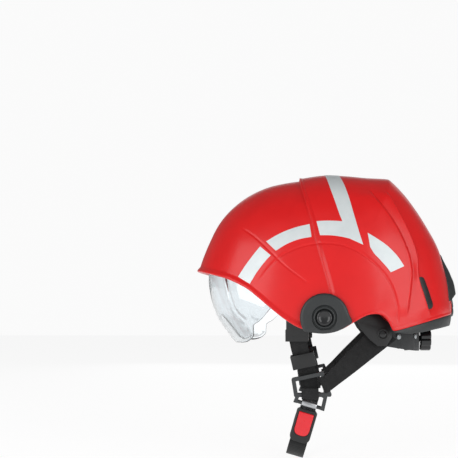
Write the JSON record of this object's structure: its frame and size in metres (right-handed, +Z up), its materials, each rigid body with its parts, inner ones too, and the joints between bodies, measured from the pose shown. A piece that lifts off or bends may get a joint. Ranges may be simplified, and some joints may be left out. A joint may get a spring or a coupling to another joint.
{
  "type": "firefighter helmet",
  "caption": "Rescue helmet with a glossy shell, drop-down clear visor, rear knob, ratchet nape cradle and Y-shaped chin harness with a push-button buckle.",
  "frame": {"origin": "midway between the two visor pivots, at ear level", "axes": "-Y is the way the wearer faces, +X is the wearer's left, +Z is up"},
  "size_m": [0.2276, 0.2883, 0.3168],
  "materials": {
    "shell_red": "glossy moulded",
    "trim_grey": "fine matt grain",
    "knob_black": "glossy moulded",
    "lens": "clear polycarbonate",
    "plastic_black": "satin moulded",
    "divider_grey": "satin moulded",
    "nape_leather": "grained",
    "pad": "knitted",
    "liner_foam": "beaded foam",
    "webbing": "woven",
    "button_red": "moulded",
    "steel": "brushed"
  },
  "bodies": {
    "shell": {"brow_pad": "pad", "buckle_tongue": "steel", "crown_strap_cross": "webbing", "crown_strap_long": "webbing", "front_anchor_left": "plastic_black", "front_anchor_right": "plastic_black", "front_strap_left": "webbing", "front_strap_right": "webbing", "harness_pin_left": "steel", "harness_pin_right": "steel", "head_ring": "plastic_black", "impact_liner": "liner_foam", "ladder_lock_left": "plastic_black", "ladder_lock_right": "plastic_black", "outer_shell": "shell_red", "pivot_clip_left": "steel", "pivot_clip_right": "steel", "pivot_washer_left": "plastic_black", "pivot_washer_right": "plastic_black", "rear_hood": "trim_grey", "rear_strap_left": "webbing", "rear_strap_right": "webbing", "rear_trim": "trim_grey", "ring_rivet_left": "steel", "ring_rivet_right": "steel", "side_arm_left": "plastic_black", "side_arm_right": "plastic_black", "side_cap_left": "knob_black", "side_cap_right": "knob_black", "side_cover_left": "trim_grey", "side_cover_right": "trim_grey", "slot_insert_left": "knob_black", "slot_insert_right": "knob_black", "strap_divider_left": "divider_grey", "strap_divider_right": "divider_grey"},
    "visor": {"visor_arm_left": "plastic_black", "visor_arm_right": "plastic_black", "visor_lens": "lens", "visor_rivet_left": "steel", "visor_rivet_right": "steel"},
    "rear_knob": {"rear_knob": "knob_black", "rear_knob_nut": "steel", "rear_knob_spindle": "steel"},
    "nape": {"nape_band": "nape_leather", "nape_pad": "pad", "nape_rivet_1": "steel", "nape_rivet_2": "steel", "nape_rivet_3": "steel", "nape_rivet_4": "steel", "ratchet_cover": "plastic_black"},
    "size_knob": {"size_knob": "knob_black", "size_knob_screw": "steel", "size_pinion": "plastic_black"},
    "strip_left": {"band_strip_left": "plastic_black"},
    "strip_right": {"band_strip_right": "plastic_black"},
    "chin": {"buckle_body": "plastic_black", "buckle_pin": "steel", "chin_strap": "webbing", "strap_slider": "plastic_black"},
    "button": {"release_button": "button_red"}
  },
  "joints": [
    {"name": "visor_hinge", "type": "hinge", "parent": "shell", "child": "visor", "pos_m": [0, 0, 0], "axis": [-1, 0, 0], "range_deg": [0, 40]},
    {"name": "rear_knob_turn", "type": "hinge", "parent": "shell", "child": "rear_knob", "pos_m": [0, 0.14179, 0.017], "axis": [0, 0.9903, 0.1392], "continuous": true},
    {"name": "nape_tilt", "type": "hinge", "parent": "shell", "child": "nape", "pos_m": [0, 0.0604, -0.0172], "axis": [1, 0, 0], "range_deg": [-12, 12]},
    {"name": "size_knob_turn", "type": "hinge", "parent": "nape", "child": "size_knob", "pos_m": [0, 0.033, -0.0235], "axis": [0, 1, 0], "range_deg": [-165, 165]},
    {"name": "strip_left_slide", "type": "hinge", "parent": "nape", "child": "strip_left", "pos_m": [0, 0.033, -0.0235], "axis": [0, 0, 1], "range_deg": [-12.5, 12.5]},
    {"name": "strip_right_slide", "type": "hinge", "parent": "nape", "child": "strip_right", "pos_m": [0, 0.033, -0.0235], "axis": [0, 0, 1], "range_deg": [-12.5, 12.5]},
    {"name": "chin_swing", "type": "hinge", "parent": "shell", "child": "chin", "pos_m": [-0.06221, -0.0165, -0.09175], "axis": [0, 0.9593, -0.2823], "range_deg": [0, 75]},
    {"name": "button_press", "type": "slide", "parent": "chin", "child": "button", "axis": [-0.9954, 0.0271, 0.0921], "range_m": [0, 0.0018], "stiffness_N_per_m": 2000, "springref_m": -0.001}
  ],
  "couplings": [
    {"joint": "strip_left_slide", "follows": "size_knob_turn", "ratio": -0.064655},
    {"joint": "strip_right_slide", "follows": "size_knob_turn", "ratio": 0.066176}
  ]
}
